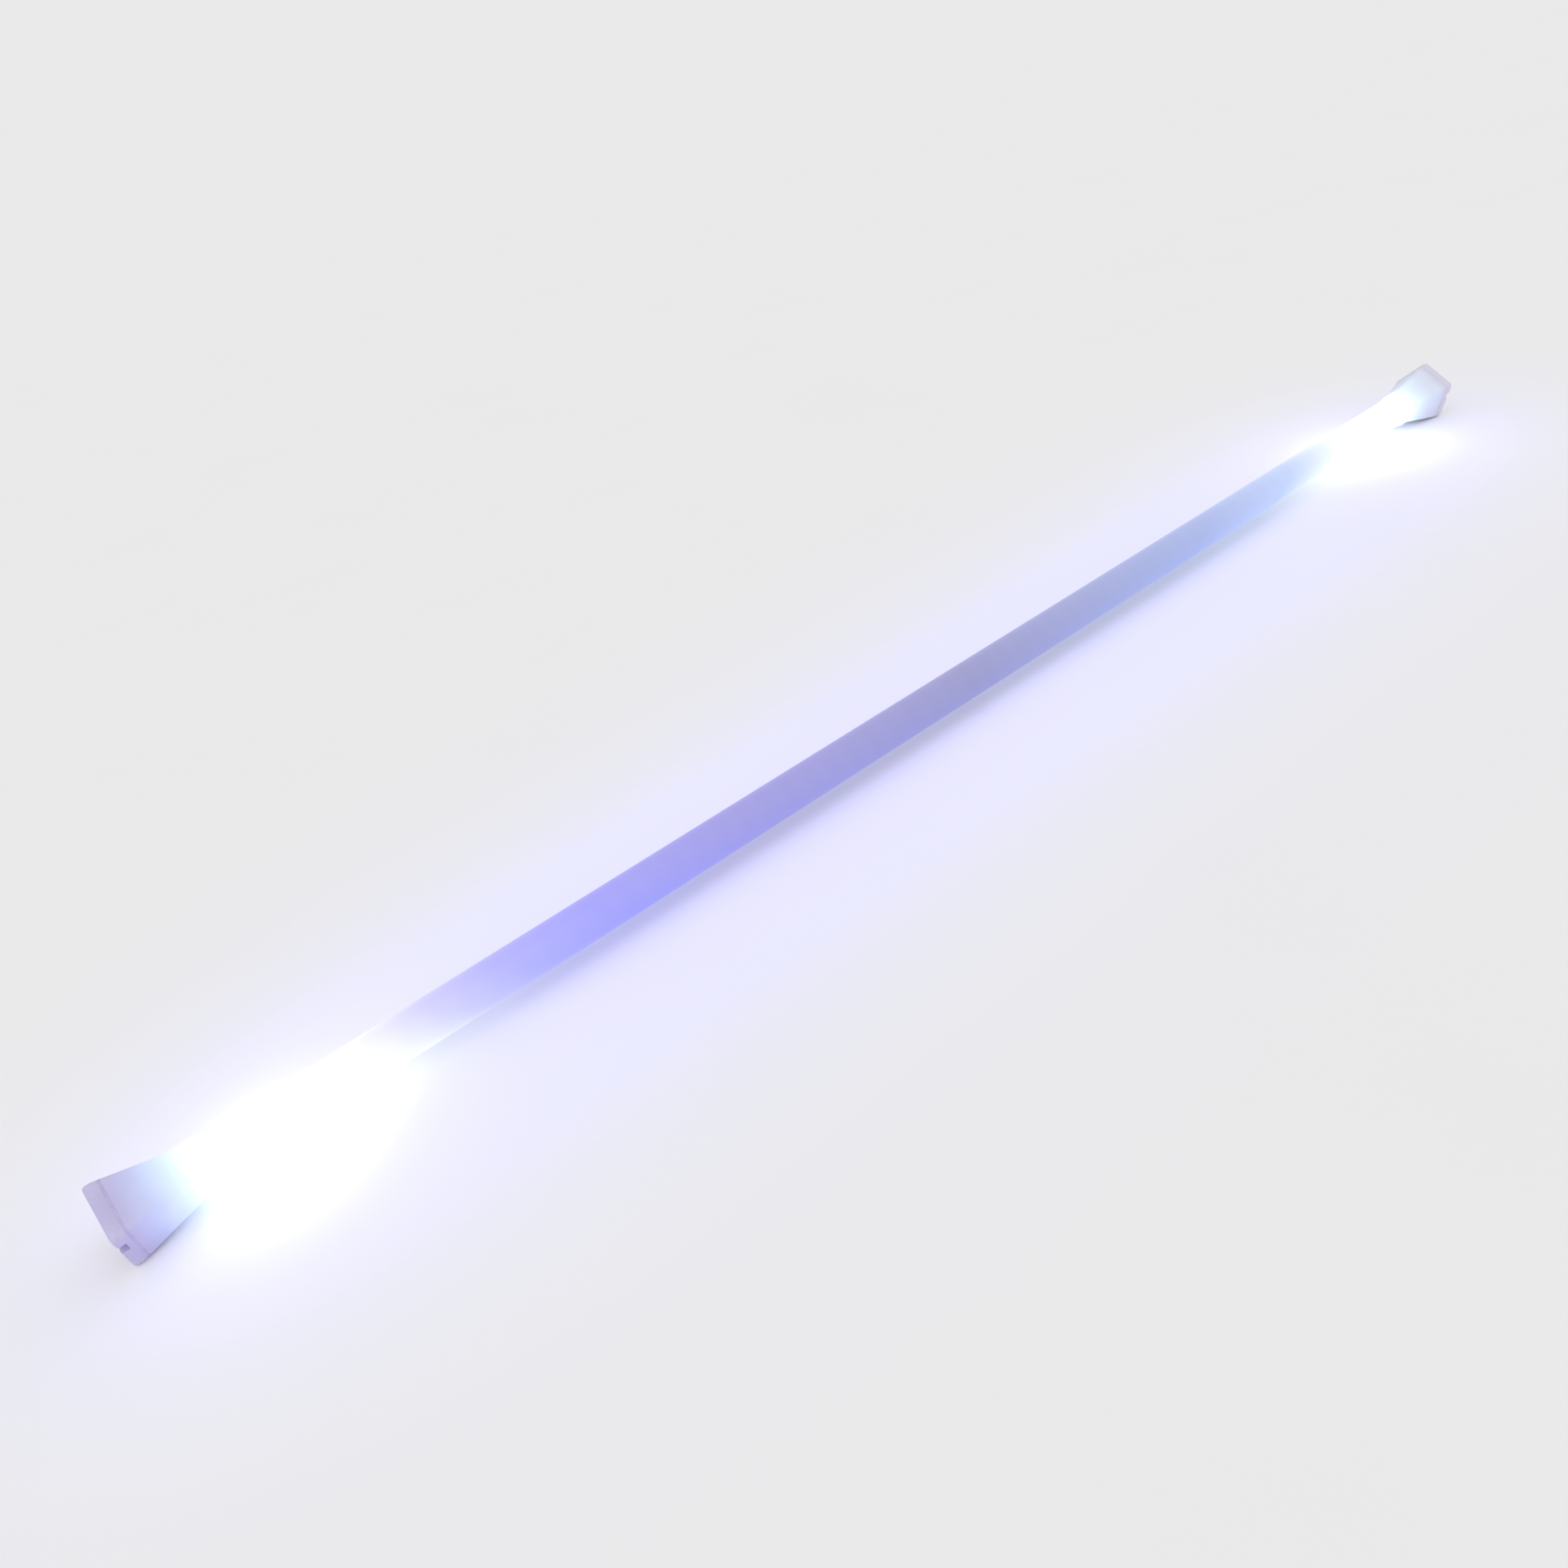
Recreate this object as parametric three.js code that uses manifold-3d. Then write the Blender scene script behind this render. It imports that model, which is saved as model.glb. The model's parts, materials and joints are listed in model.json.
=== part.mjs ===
// A slim LED light tube: a frosted round diffuser between two flared, five-sided end caps.
// Inside it a long aluminium rail carries the LED boards, with the battery cells and the driver behind it.
// One end cover holds the buttons, the charging port and its flap; both have a tripod insert in the middle.
//
// Everything is built round the tube's own axis, along X, with +Z on the light's side.
// An end piece is built by its depth d from the outer end face, and the far end is the near end mirrored.
// The lamp then lies on one of its five flats, as it does on a floor. Millimetres, +Z up.

import * as THREE from 'three';
import { mergeVertices } from 'three/addons/utils/BufferGeometryUtils.js';
import Module from 'manifold-3d';

const wasm = await Module();
wasm.setup();

// ---------- Driving dimensions ----------

const LENGTH = 1200;                   // over both end covers
const TUBE_RADIUS = 13;                // T8-size diffuser, 26 mm across
const TUBE_WALL = 1.5;
const GAP = 0.3;                       // between pieces that touch on the real lamp

const SIDES = 5;                       // the caps are five-sided, so that the lamp can't roll
const FLAT_RADIUS = 21.2;              // from the axis to a flat of the end cover
const CORNER_FILLET = 4;
const LAND_START = 1.6;                // the strip of each flat that the lamp lies on
const LAND_END = 4.4;
const HALF_SECTOR = Math.PI / SIDES;   // from a corner to the middle of the next flat
const ROLL = 2 * HALF_SECTOR;          // turns the lamp from its own frame onto the flat it lies on

const CAP_LENGTH = 52;
const COVER_DEPTH = 7.2;
const GASKET_THICKNESS = 0.6;
const GASKET_INSET = 0.4;
const SHELL_START = COVER_DEPTH + GASKET_THICKNESS + 2 * GAP;
const FLARE_SLOPE = 0.22;              // past the land, the flats close in by this much a millimetre
const COLLAR_RADIUS = 14.5;
const SOCKET_DEPTH = 20;               // the tube's end stands here, inside the cap
const SOCKET_STOP = 3;
const CAVITY_RADIUS = 14.8;            // room for the control board
const SEAL_DEPTH = 24;
const SEAL_WIDTH = 1.8;
const SEAL_GROOVE_RADIUS = 14.6;

const RECESS_DEPTH = 1.2;              // shallow well in the cover's face
const RECESS_RADIUS = 14.9;
const FACE_THICKNESS = 2.6;
const BOSS_RADIUS = 6;
const INSERT_RADIUS = 4.4;             // 1/4 inch tripod insert
const INSERT_BORE = 2.9;
const SCREW_CIRCLE = 19.2;
const SCREW_HEAD = 2.5;
const SCREW_SHANK = 1.4;
const SCREW_SEAT = 2.2;
const SCREW_TIP = 13.5;
const NOTCH_ANGLES = [114, 186];       // two notches in the rim, in degrees from +Y, off their flats' middles
const NOTCH_FLOOR = 16.4;
const NOTCH_MOUTH = 2.9;               // half of its width at the flat, and below it at the floor
const NOTCH_ROOT = 2.6;

const BUTTON_CIRCLE = 10.2;
const BUTTON_RADIUS = 2.9;
const BUTTON_ANGLES = { power: Math.PI / 2, brighter: Math.PI / 9, dimmer: Math.PI - Math.PI / 9 };
const BUTTON_STEM_END = 11.4;
const BUTTON_STEM_RADIUS = 1.4;
const LIGHT_PIPE_CIRCLE = 10.4;
const LIGHT_PIPE_ANGLES = { battery: Math.PI + Math.PI / 6, signal: -Math.PI / 6 };
const LIGHT_PIPE_RADIUS = 1.1;
const BOARD_START = 15.5;
const BOARD_THICKNESS = 1.2;
const PORT_WIDTH = 8.94;
const PORT_HEIGHT = 3.26;
const PORT_Z = -10.4;
const FLAP_HINGE = { depth: 0.52, z: -12.95, radius: 0.37 };

const RAIL_TOP = 5;
const RAIL_WALL = 1.4;
const RAIL_WIDTH = 20;
const RAIL_LENGTH = 1154;
const LED_BOARDS = 4;
const LEDS_PER_BOARD = 16;
const CELL_RADIUS = 7;
const CELL_LENGTH = 48.5;
const CELL_PITCH = 50;
const CELLS_PER_PACK = 4;
const CELL_Z = -4.1;
const PACK_START = 455;                // outer end of each pack, from the lamp's middle
const PACK_PLATE_THICKNESS = 3;
const LEAD_RADIUS = 1;
const LEAD_PLACE = { y: 6.5, z: 1.9 };

const ROUND = 30;                      // segments of a plain round piece
const SMALL_ROUND = 16;

// Half the angle that a corner's fillet takes up, and the angles from the first corner of the columns that
// a five-sided piece is drawn with: five over each fillet and five between it and the next.
const FILLET_SPAN = HALF_SECTOR - Math.atan((1 - CORNER_FILLET / FLAT_RADIUS) * Math.tan(HALF_SECTOR));
const columnAngles = Array.from({ length: SIDES }, (_, corner) => [
  ...[-1, -1 / 2, 0, 1 / 2, 1].map((part) => part * FILLET_SPAN),
  ...[1 / 3, 2 / 3, 1, 4 / 3, 5 / 3].map((part) => FILLET_SPAN + part * (HALF_SECTOR - FILLET_SPAN)),
].map((angle) => angle + 2 * HALF_SECTOR * corner)).flat();

// ---------- Materials ----------

function material(colour, roughness, metalness = 0) {
  return new THREE.MeshStandardMaterial({ color: colour, roughness, metalness });
}

const MATERIALS = {
  diffuser: material(0xa6a4e0, 0.45),
  shell: material(0xb9b2d6, 0.55),
  cover: material(0xc6bfdf, 0.6),
  rubber: material(0x8f89ad, 0.85),
  button: material(0xd6d2ea, 0.5),
  aluminium: material(0xc9ccd2, 0.4, 1),
  brass: material(0xc8a85a, 0.35, 1),
  steel: material(0xa9a9b4, 0.35, 1),
  board: material(0xe9ecf0, 0.5),
  greenBoard: material(0x2f6b4a, 0.5),
  cellSleeve: material(0x5a6fb0, 0.4),
  blackPlastic: material(0x26262c, 0.5),
  clearPlastic: material(0xdfe6ff, 0.15),
  redWire: material(0xb03038, 0.5),
  blackWire: material(0x202024, 0.5),
};

// ---------- Solids: manifold-3d joins and cuts, three.js gives the shapes ----------

function toSolid(geometry) {
  const bare = geometry.clone();
  bare.deleteAttribute('normal');
  bare.deleteAttribute('uv');
  const merged = mergeVertices(bare, 1e-4);
  return new wasm.Manifold(new wasm.Mesh({
    numProp: 3,
    vertProperties: merged.attributes.position.array,
    triVerts: new Uint32Array(merged.index.array),
  }));
}

function toGeometry(solid) {
  const mesh = solid.getMesh();
  const geometry = new THREE.BufferGeometry();
  geometry.setAttribute('position', new THREE.BufferAttribute(mesh.vertProperties, 3));
  geometry.setIndex(new THREE.BufferAttribute(mesh.triVerts, 1));
  geometry.computeVertexNormals();
  return geometry;
}

function cut(geometry, ...tools) {
  return toGeometry(tools.reduce((solid, tool) => solid.subtract(toSolid(tool)), toSolid(geometry)));
}

function join(geometry, ...others) {
  return toGeometry(others.reduce((solid, other) => solid.add(toSolid(other)), toSolid(geometry)));
}

// ---------- Shapes along the axis ----------

// A round bar along X from depth a to depth b, centred on (y, z).
function bar(radius, a, b, y = 0, z = 0, segments = SMALL_ROUND) {
  const geometry = new THREE.CylinderGeometry(radius, radius, b - a, segments);
  geometry.rotateZ(-Math.PI / 2);
  return geometry.translate((a + b) / 2, y, z);
}

function block(xSize, ySize, zSize, x, y, z) {
  return new THREE.BoxGeometry(xSize, ySize, zSize).translate(x, y, z);
}

// A shape drawn in the (y, z) plane, pushed along X from depth a to depth b.
function pushed(shape, a, b, curveSegments = 6) {
  const geometry = new THREE.ExtrudeGeometry(shape, { depth: b - a, bevelEnabled: false, curveSegments });
  geometry.applyMatrix4(new THREE.Matrix4().makeBasis(
    new THREE.Vector3(0, 1, 0), new THREE.Vector3(0, 0, 1), new THREE.Vector3(1, 0, 0)));
  return geometry.translate(a, 0, 0);
}

// Radius of the five-sided outline with filleted corners, at an angle from a corner.
function outlineRadius(angle) {
  const sector = 2 * HALF_SECTOR;
  const fromCorner = Math.abs(angle - sector * Math.round(angle / sector));
  if (fromCorner > FILLET_SPAN) return FLAT_RADIUS / Math.cos(HALF_SECTOR - fromCorner);
  const centre = (FLAT_RADIUS - CORNER_FILLET) / Math.cos(HALF_SECTOR);
  return centre * Math.cos(fromCorner) + Math.sqrt(CORNER_FILLET ** 2 - (centre * Math.sin(fromCorner)) ** 2);
}

// A ring round X with its own closed profile of [depth, radius] at each angle from a corner.
// profileAt gets the outline's radius there as a multiple of the radius at the middle of a flat.
function fiveSidedRing(profileAt) {
  const columns = columnAngles.length;
  const rows = profileAt(1).length + 1;
  const geometry = new THREE.LatheGeometry(Array(rows).fill(new THREE.Vector2(1, 0)), columns);
  const position = geometry.attributes.position;
  for (let column = 0; column <= columns; column++) {
    const angle = columnAngles[column % columns];
    const profile = profileAt(outlineRadius(angle) / FLAT_RADIUS);
    [...profile, profile[0]].forEach(([depth, radius], row) => {
      position.setXYZ(column * rows + row, radius * Math.sin(angle), depth, radius * Math.cos(angle));
    });
  }
  return geometry.rotateZ(-Math.PI / 2);
}

// A closed profile of [depth, radius] turned round X.
function turned(profile, segments = ROUND) {
  const points = [...profile, profile[0]].map(([d, r]) => new THREE.Vector2(r, d));
  return new THREE.LatheGeometry(points, segments).rotateZ(-Math.PI / 2);
}

// A profile of [depth, radius] that starts and ends on the axis.
function solidTurned(profile, segments = SMALL_ROUND) {
  return new THREE.LatheGeometry(profile.map(([d, r]) => new THREE.Vector2(r, d)), segments)
    .rotateZ(-Math.PI / 2);
}

function onCircle(radius, angle) {
  return [radius * Math.cos(angle), radius * Math.sin(angle)];
}

function roundedRectangle(width, height, radius, y = 0, z = 0) {
  const [w, h] = [width / 2 - radius, height / 2 - radius];
  const shape = new THREE.Shape();
  shape.absarc(y + w, z + h, radius, 0, Math.PI / 2);
  shape.absarc(y - w, z + h, radius, Math.PI / 2, Math.PI);
  shape.absarc(y - w, z - h, radius, Math.PI, 1.5 * Math.PI);
  shape.absarc(y + w, z - h, radius, 1.5 * Math.PI, 2 * Math.PI);
  return shape;
}

// ---------- The end caps ----------

const cornerAngles = Array.from({ length: SIDES }, (_, i) => Math.PI / 2 + 2 * HALF_SECTOR * i);
const screwPlaces = cornerAngles.map((angle) => onCircle(SCREW_CIRCLE, angle));

// A short notch in the rim, from the end face to the end of the land.
function notchTool(angle) {
  const shape = new THREE.Shape();
  shape.moveTo(-NOTCH_ROOT, NOTCH_FLOOR);
  shape.lineTo(NOTCH_ROOT, NOTCH_FLOOR);
  shape.lineTo(NOTCH_MOUTH, FLAT_RADIUS + 1);
  shape.lineTo(-NOTCH_MOUTH, FLAT_RADIUS + 1);
  shape.closePath();
  return pushed(shape, -1, LAND_END).rotateX(angle - Math.PI / 2);
}

// From the axis to a flat, at a depth past the land.
function flareRadius(depth) {
  return FLAT_RADIUS - FLARE_SLOPE * (depth - LAND_END);
}

// Five flat facets close in from the rim until each meets the round collar, so a ridge runs on further
// than the middle of a facet. The tube stands in the socket, sealed by a ring.
function capShell() {
  const socket = TUBE_RADIUS + GAP;
  const stop = TUBE_RADIUS - TUBE_WALL;
  const [sealStart, sealEnd] = [SEAL_DEPTH - SEAL_WIDTH / 2 - GAP, SEAL_DEPTH + SEAL_WIDTH / 2 + GAP];
  const ring = fiveSidedRing((outline) => [
    [SHELL_START, flareRadius(SHELL_START) * outline],
    [LAND_END + (FLAT_RADIUS - COLLAR_RADIUS / outline) / FLARE_SLOPE, COLLAR_RADIUS],
    [CAP_LENGTH - 0.6, COLLAR_RADIUS],
    [CAP_LENGTH, COLLAR_RADIUS - 0.6],
    [CAP_LENGTH, socket],
    [sealEnd, socket],
    [sealEnd, SEAL_GROOVE_RADIUS],
    [sealStart, SEAL_GROOVE_RADIUS],
    [sealStart, socket],
    [SOCKET_DEPTH - GAP, socket],
    [SOCKET_DEPTH - GAP, stop],
    [SOCKET_DEPTH - SOCKET_STOP, stop],
    [SOCKET_DEPTH - SOCKET_STOP, CAVITY_RADIUS],
    [SHELL_START, CAVITY_RADIUS],
  ]);
  const holes = screwPlaces.map(([y, z]) => bar(SCREW_SHANK + GAP, SHELL_START - 1, SCREW_TIP + 1, y, z, 8));
  return cut(ring, ...holes);
}

function tubeSeal() {
  const [inner, outer, half] = [TUBE_RADIUS + GAP, SEAL_GROOVE_RADIUS - GAP, SEAL_WIDTH / 2];
  const bevel = 0.3;
  return turned([
    [SEAL_DEPTH - half, inner],
    [SEAL_DEPTH - half, outer - bevel],
    [SEAL_DEPTH - half + bevel, outer],
    [SEAL_DEPTH + half - bevel, outer],
    [SEAL_DEPTH + half, outer - bevel],
    [SEAL_DEPTH + half, inner],
  ]);
}

function coverGasket() {
  const start = COVER_DEPTH + GAP;
  const end = start + GASKET_THICKNESS;
  const ring = fiveSidedRing((outline) => [
    [start, CAVITY_RADIUS],
    [start, (flareRadius(start) - GASKET_INSET) * outline],
    [end, (flareRadius(end) - GASKET_INSET) * outline],
    [end, CAVITY_RADIUS],
  ]);
  const holes = screwPlaces.map(([y, z]) => bar(SCREW_SHANK + GAP, start - 1, end + 1, y, z, 8));
  return cut(ring, ...holes);
}

// The outer end of a cap: a chamfered five-sided rim, a shallow well, and the insert's boss in the middle.
function endCover(openings = []) {
  const face = RECESS_DEPTH + FACE_THICKNESS;
  const insideRadius = CAVITY_RADIUS - 0.4;
  const ring = fiveSidedRing((outline) => [
    [0, INSERT_RADIUS + GAP],
    [0, BOSS_RADIUS],
    [RECESS_DEPTH, BOSS_RADIUS + 0.2],
    [RECESS_DEPTH, RECESS_RADIUS - 0.5],
    [0, RECESS_RADIUS],
    [0, (FLAT_RADIUS - 1.6) * outline],
    [0.5, (FLAT_RADIUS - 0.6) * outline],
    [LAND_START, FLAT_RADIUS * outline],
    [LAND_END, FLAT_RADIUS * outline],
    [COVER_DEPTH, flareRadius(COVER_DEPTH) * outline],
    [COVER_DEPTH, insideRadius],
    [face, insideRadius],
    [face, BOSS_RADIUS],
    [COVER_DEPTH, BOSS_RADIUS],
    [COVER_DEPTH, INSERT_RADIUS + GAP],
  ]);
  const screwHoles = screwPlaces.flatMap(([y, z]) => [
    bar(SCREW_SHANK + GAP, -1, COVER_DEPTH + 1, y, z, 8),
    bar(SCREW_HEAD + GAP, -1, SCREW_SEAT, y, z, 12),
  ]);
  const notches = NOTCH_ANGLES.map((degrees) => notchTool(THREE.MathUtils.degToRad(degrees)));
  return cut(ring, ...screwHoles, ...notches, ...openings);
}

// Brass insert with a 1/4 inch tripod thread, shown as a plain bore.
function threadInsert() {
  return turned([
    [0.2, INSERT_BORE + 0.4],
    [0.2, INSERT_RADIUS],
    [2.8, INSERT_RADIUS],
    [3.1, INSERT_RADIUS - 0.4],
    [4.1, INSERT_RADIUS - 0.4],
    [4.4, INSERT_RADIUS],
    [7, INSERT_RADIUS],
    [7, INSERT_BORE],
    [0.6, INSERT_BORE],
  ], 24);
}

function coverScrew() {
  const seat = SCREW_SEAT - GAP;
  const blank = solidTurned([
    [0.2, 0], [0.2, SCREW_HEAD - 0.5], [0.6, SCREW_HEAD], [seat, SCREW_HEAD],
    [seat, SCREW_SHANK], [SCREW_TIP - 0.8, SCREW_SHANK], [SCREW_TIP, 0.5], [SCREW_TIP, 0],
  ], 16);
  return cut(blank, bar(1.2, -1, 1.4, 0, 0, 6));
}

// ---------- The controls in the near cover ----------

function controlOpenings() {
  const buttons = Object.values(BUTTON_ANGLES).map((angle) =>
    bar(BUTTON_RADIUS + GAP, -1, COVER_DEPTH - 0.5, ...onCircle(BUTTON_CIRCLE, angle)));
  const pipes = Object.values(LIGHT_PIPE_ANGLES).map((angle) =>
    bar(LIGHT_PIPE_RADIUS + GAP, -1, COVER_DEPTH - 0.5, ...onCircle(LIGHT_PIPE_CIRCLE, angle), 12));
  const port = roundedRectangle(PORT_WIDTH + 2 * GAP, PORT_HEIGHT + 2 * GAP, PORT_HEIGHT / 2, 0, PORT_Z);
  return [...buttons, ...pipes, pushed(port, -1, COVER_DEPTH - 0.5)];
}

// Its top stands 0.8 mm proud of the well; the flange keeps it in, and the stem reaches down to its switch.
function pushButton() {
  const flange = RECESS_DEPTH + FACE_THICKNESS + GAP;
  return solidTurned([
    [0.55, 0], [0.4, BUTTON_RADIUS - 0.6], [0.9, BUTTON_RADIUS], [flange, BUTTON_RADIUS],
    [flange, BUTTON_RADIUS + 0.8], [flange + 0.8, BUTTON_RADIUS + 0.8],
    [flange + 0.8, BUTTON_STEM_RADIUS], [BUTTON_STEM_END, BUTTON_STEM_RADIUS], [BUTTON_STEM_END, 0],
  ], 24);
}

function tactSwitch() {
  const body = block(1.7, 5, 5, BOARD_START - GAP - 0.85, 0, 0);
  return join(body, bar(1.2, BOARD_START - GAP - 2.5, BOARD_START - GAP - 1, 0, 0, 12));
}

function controlBoard() {
  const disc = bar(13.9, BOARD_START, BOARD_START + BOARD_THICKNESS, 0, 0, ROUND);
  const radioModule = block(1.6, 9, 6, BOARD_START - 0.6, 0, -0.6);
  return join(disc, radioModule);
}

// A charging socket: a thin stadium tube, shut at its back, with a tongue standing in it.
function chargingPort() {
  const [mouth, back] = [1.6, BOARD_START - GAP];
  const outside = pushed(roundedRectangle(PORT_WIDTH, PORT_HEIGHT, 1.6, 0, PORT_Z), mouth, back);
  const inside = pushed(roundedRectangle(PORT_WIDTH - 0.7, PORT_HEIGHT - 0.7, 1.25, 0, PORT_Z), 0, back - 1);
  const tongue = block(4.6, 6.6, 0.7, back - 0.8 - 2.3, 0, PORT_Z);
  return join(cut(outside, inside), tongue);
}

// Rubber flap over the charging port, turning about a knuckle along its outer edge.
function portFlap() {
  const [top, bottom] = [-7.8, FLAP_HINGE.z];
  const outline = roundedRectangle(11, top - bottom, 0.9, 0, (top + bottom) / 2);
  const plate = pushed(outline, 0.15, RECESS_DEPTH - GAP, 4);
  const knuckle = new THREE.CylinderGeometry(FLAP_HINGE.radius, FLAP_HINGE.radius, 9, 12)
    .translate(FLAP_HINGE.depth, 0, FLAP_HINGE.z);
  const fingerLip = block(0.5, 4, 0.8, 0.28, 0, top - 0.8);
  return join(plate, knuckle, fingerLip);
}

function lightPipe() {
  return solidTurned([
    [RECESS_DEPTH - 0.5, 0], [RECESS_DEPTH - 0.3, LIGHT_PIPE_RADIUS - 0.3], [RECESS_DEPTH, LIGHT_PIPE_RADIUS],
    [BOARD_START - 1, LIGHT_PIPE_RADIUS], [BOARD_START - 1, 0],
  ], 12);
}

// ---------- Inside the tube ----------

function diffuserTube() {
  const half = LENGTH / 2 - SOCKET_DEPTH;
  const inner = TUBE_RADIUS - TUBE_WALL;
  return turned([[-half, inner], [-half, TUBE_RADIUS], [half, TUBE_RADIUS], [half, inner]], 48);
}

// A channel, open at the back, with a lip along each edge of its top to hold the LED boards.
function ledRail() {
  const [side, foot] = [RAIL_WIDTH / 2, -4];
  const [lip, lipWidth, lipHeight] = [6.7, 1, 0.9];
  const shape = new THREE.Shape();
  shape.moveTo(-side, foot);
  shape.lineTo(-side + RAIL_WALL, foot);
  shape.lineTo(-side + RAIL_WALL, RAIL_TOP - RAIL_WALL);
  shape.lineTo(side - RAIL_WALL, RAIL_TOP - RAIL_WALL);
  shape.lineTo(side - RAIL_WALL, foot);
  shape.lineTo(side, foot);
  shape.lineTo(side, RAIL_TOP);
  shape.lineTo(lip + lipWidth, RAIL_TOP);
  shape.lineTo(lip + lipWidth, RAIL_TOP + lipHeight);
  shape.lineTo(lip, RAIL_TOP + lipHeight);
  shape.lineTo(lip, RAIL_TOP);
  shape.lineTo(-lip, RAIL_TOP);
  shape.lineTo(-lip, RAIL_TOP + lipHeight);
  shape.lineTo(-lip - lipWidth, RAIL_TOP + lipHeight);
  shape.lineTo(-lip - lipWidth, RAIL_TOP);
  shape.lineTo(-side, RAIL_TOP);
  shape.closePath();
  return pushed(shape, -RAIL_LENGTH / 2, RAIL_LENGTH / 2);
}

function ledBoard() {
  const pitch = RAIL_LENGTH / LED_BOARDS;
  const [thickness, ledSize, ledHeight] = [1, 5, 1.4];
  const bottom = RAIL_TOP + GAP;
  const board = block(pitch - 2 * GAP, 12.4, thickness, 0, 0, bottom + thickness / 2);
  const leds = Array.from({ length: LEDS_PER_BOARD }, (_, i) => block(
    ledSize, ledSize, ledHeight + 0.2,
    ((i + 0.5) / LEDS_PER_BOARD - 0.5) * pitch, 0, bottom + thickness + (ledHeight - 0.2) / 2,
  ));
  return join(board, ...leds);
}

function batteryCell() {
  const end = CELL_LENGTH;
  return solidTurned([
    [0, 0], [0, CELL_RADIUS - 0.6], [0.6, CELL_RADIUS], [end - 0.6, CELL_RADIUS], [end, CELL_RADIUS - 0.6],
    [end, 2.6], [end + 1.2, 2.6], [end + 1.2, 0],
  ]);
}

// Closes an end of a battery pack inside the rail. Its upper corners are cut away for the leads.
function packPlate() {
  const [side, bottom, top] = [RAIL_WIDTH / 2 - RAIL_WALL - GAP, -3.9, RAIL_TOP - RAIL_WALL - GAP];
  const [cornerSide, cornerBottom] = [5.1, 0.4];
  const shape = new THREE.Shape();
  shape.moveTo(-side, bottom);
  shape.lineTo(side, bottom);
  shape.lineTo(side, cornerBottom);
  shape.lineTo(cornerSide, cornerBottom);
  shape.lineTo(cornerSide, top);
  shape.lineTo(-cornerSide, top);
  shape.lineTo(-cornerSide, cornerBottom);
  shape.lineTo(-side, cornerBottom);
  shape.closePath();
  return pushed(shape, 0, PACK_PLATE_THICKNESS);
}

// The board hangs from the rail on a spacer near each end, with its components below it.
function driverBoard() {
  const [top, thickness] = [-2, 1.2];
  const spacer = RAIL_TOP - RAIL_WALL - GAP - top - 0.1;
  const hanging = (x, xSize, ySize, height) =>
    block(xSize, ySize, height + 0.2, x, 0, top - thickness + 0.1 - height / 2);
  return join(
    block(116, 13, thickness, 0, 0, top - thickness / 2),
    hanging(-42, 12, 9, 3.4),      // inductor
    hanging(-20, 8, 8, 1.2),       // driver chip
    hanging(4, 14, 6, 4),          // capacitor
    hanging(26, 8, 8, 1.2),        // charger chip
    hanging(50, 7, 10, 3.6),       // battery connector
    ...[-52, 52].map((x) => block(5, 5, spacer + 0.2, x, 0, top - 0.1 + spacer / 2)),
  );
}

// Disc that centres the rail's end in the tube and lets the two leads through.
function railBulkhead() {
  const shape = new THREE.Shape();
  shape.absarc(0, 0, TUBE_RADIUS - TUBE_WALL - GAP, 0, 2 * Math.PI);
  for (const y of [-LEAD_PLACE.y, LEAD_PLACE.y]) {
    const hole = new THREE.Path();
    hole.absarc(y, LEAD_PLACE.z, LEAD_RADIUS + GAP + 0.1, 0, 2 * Math.PI, true);
    shape.holes.push(hole);
  }
  return pushed(shape, SOCKET_DEPTH + 0.2, LENGTH / 2 - RAIL_LENGTH / 2 - GAP, 10);
}

// ---------- The assembly ----------

const lamp = new THREE.Group();
lamp.rotation.x = ROLL;
lamp.position.z = FLAT_RADIUS;

function add(group, name, geometry, slot, x = 0, y = 0, z = 0) {
  const mesh = new THREE.Mesh(geometry, MATERIALS[slot]);
  mesh.name = name;
  mesh.position.set(x, y, z);
  group.add(mesh);
  return mesh;
}

const nearEnd = new THREE.Group();
nearEnd.position.x = -LENGTH / 2;
const farEnd = new THREE.Group();
farEnd.position.x = LENGTH / 2;
farEnd.scale.x = -1;
lamp.add(nearEnd, farEnd);

const [shell, gasket, seal, insert] = [capShell(), coverGasket(), tubeSeal(), threadInsert()];
const [screw, bulkhead] = [coverScrew(), railBulkhead()];
for (const [end, group] of [['near', nearEnd], ['far', farEnd]]) {
  add(group, `cap_shell_${end}`, shell, 'shell');
  add(group, `end_cover_${end}`, endCover(end === 'near' ? controlOpenings() : []), 'cover');
  add(group, `cover_gasket_${end}`, gasket, 'rubber');
  add(group, `tube_seal_${end}`, seal, 'rubber');
  add(group, `thread_insert_${end}`, insert, 'brass');
  add(group, `rail_bulkhead_${end}`, bulkhead, 'blackPlastic');
  screwPlaces.forEach(([y, z], i) => add(group, `cover_screw_${end}_${i + 1}`, screw, 'steel', 0, y, z));
}

for (const [name, angle] of Object.entries(BUTTON_ANGLES)) {
  const place = onCircle(BUTTON_CIRCLE, angle);
  add(nearEnd, `${name}_button`, pushButton(), 'button', 0, ...place);
  add(nearEnd, `${name}_switch`, tactSwitch(), 'blackPlastic', 0, ...place);
}
for (const [name, angle] of Object.entries(LIGHT_PIPE_ANGLES)) {
  add(nearEnd, `${name}_light_pipe`, lightPipe(), 'clearPlastic', 0, ...onCircle(LIGHT_PIPE_CIRCLE, angle));
}
add(nearEnd, 'control_board', controlBoard(), 'greenBoard');
add(nearEnd, 'charging_port', chargingPort(), 'steel');
add(nearEnd, 'port_flap', portFlap(), 'rubber');

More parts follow.
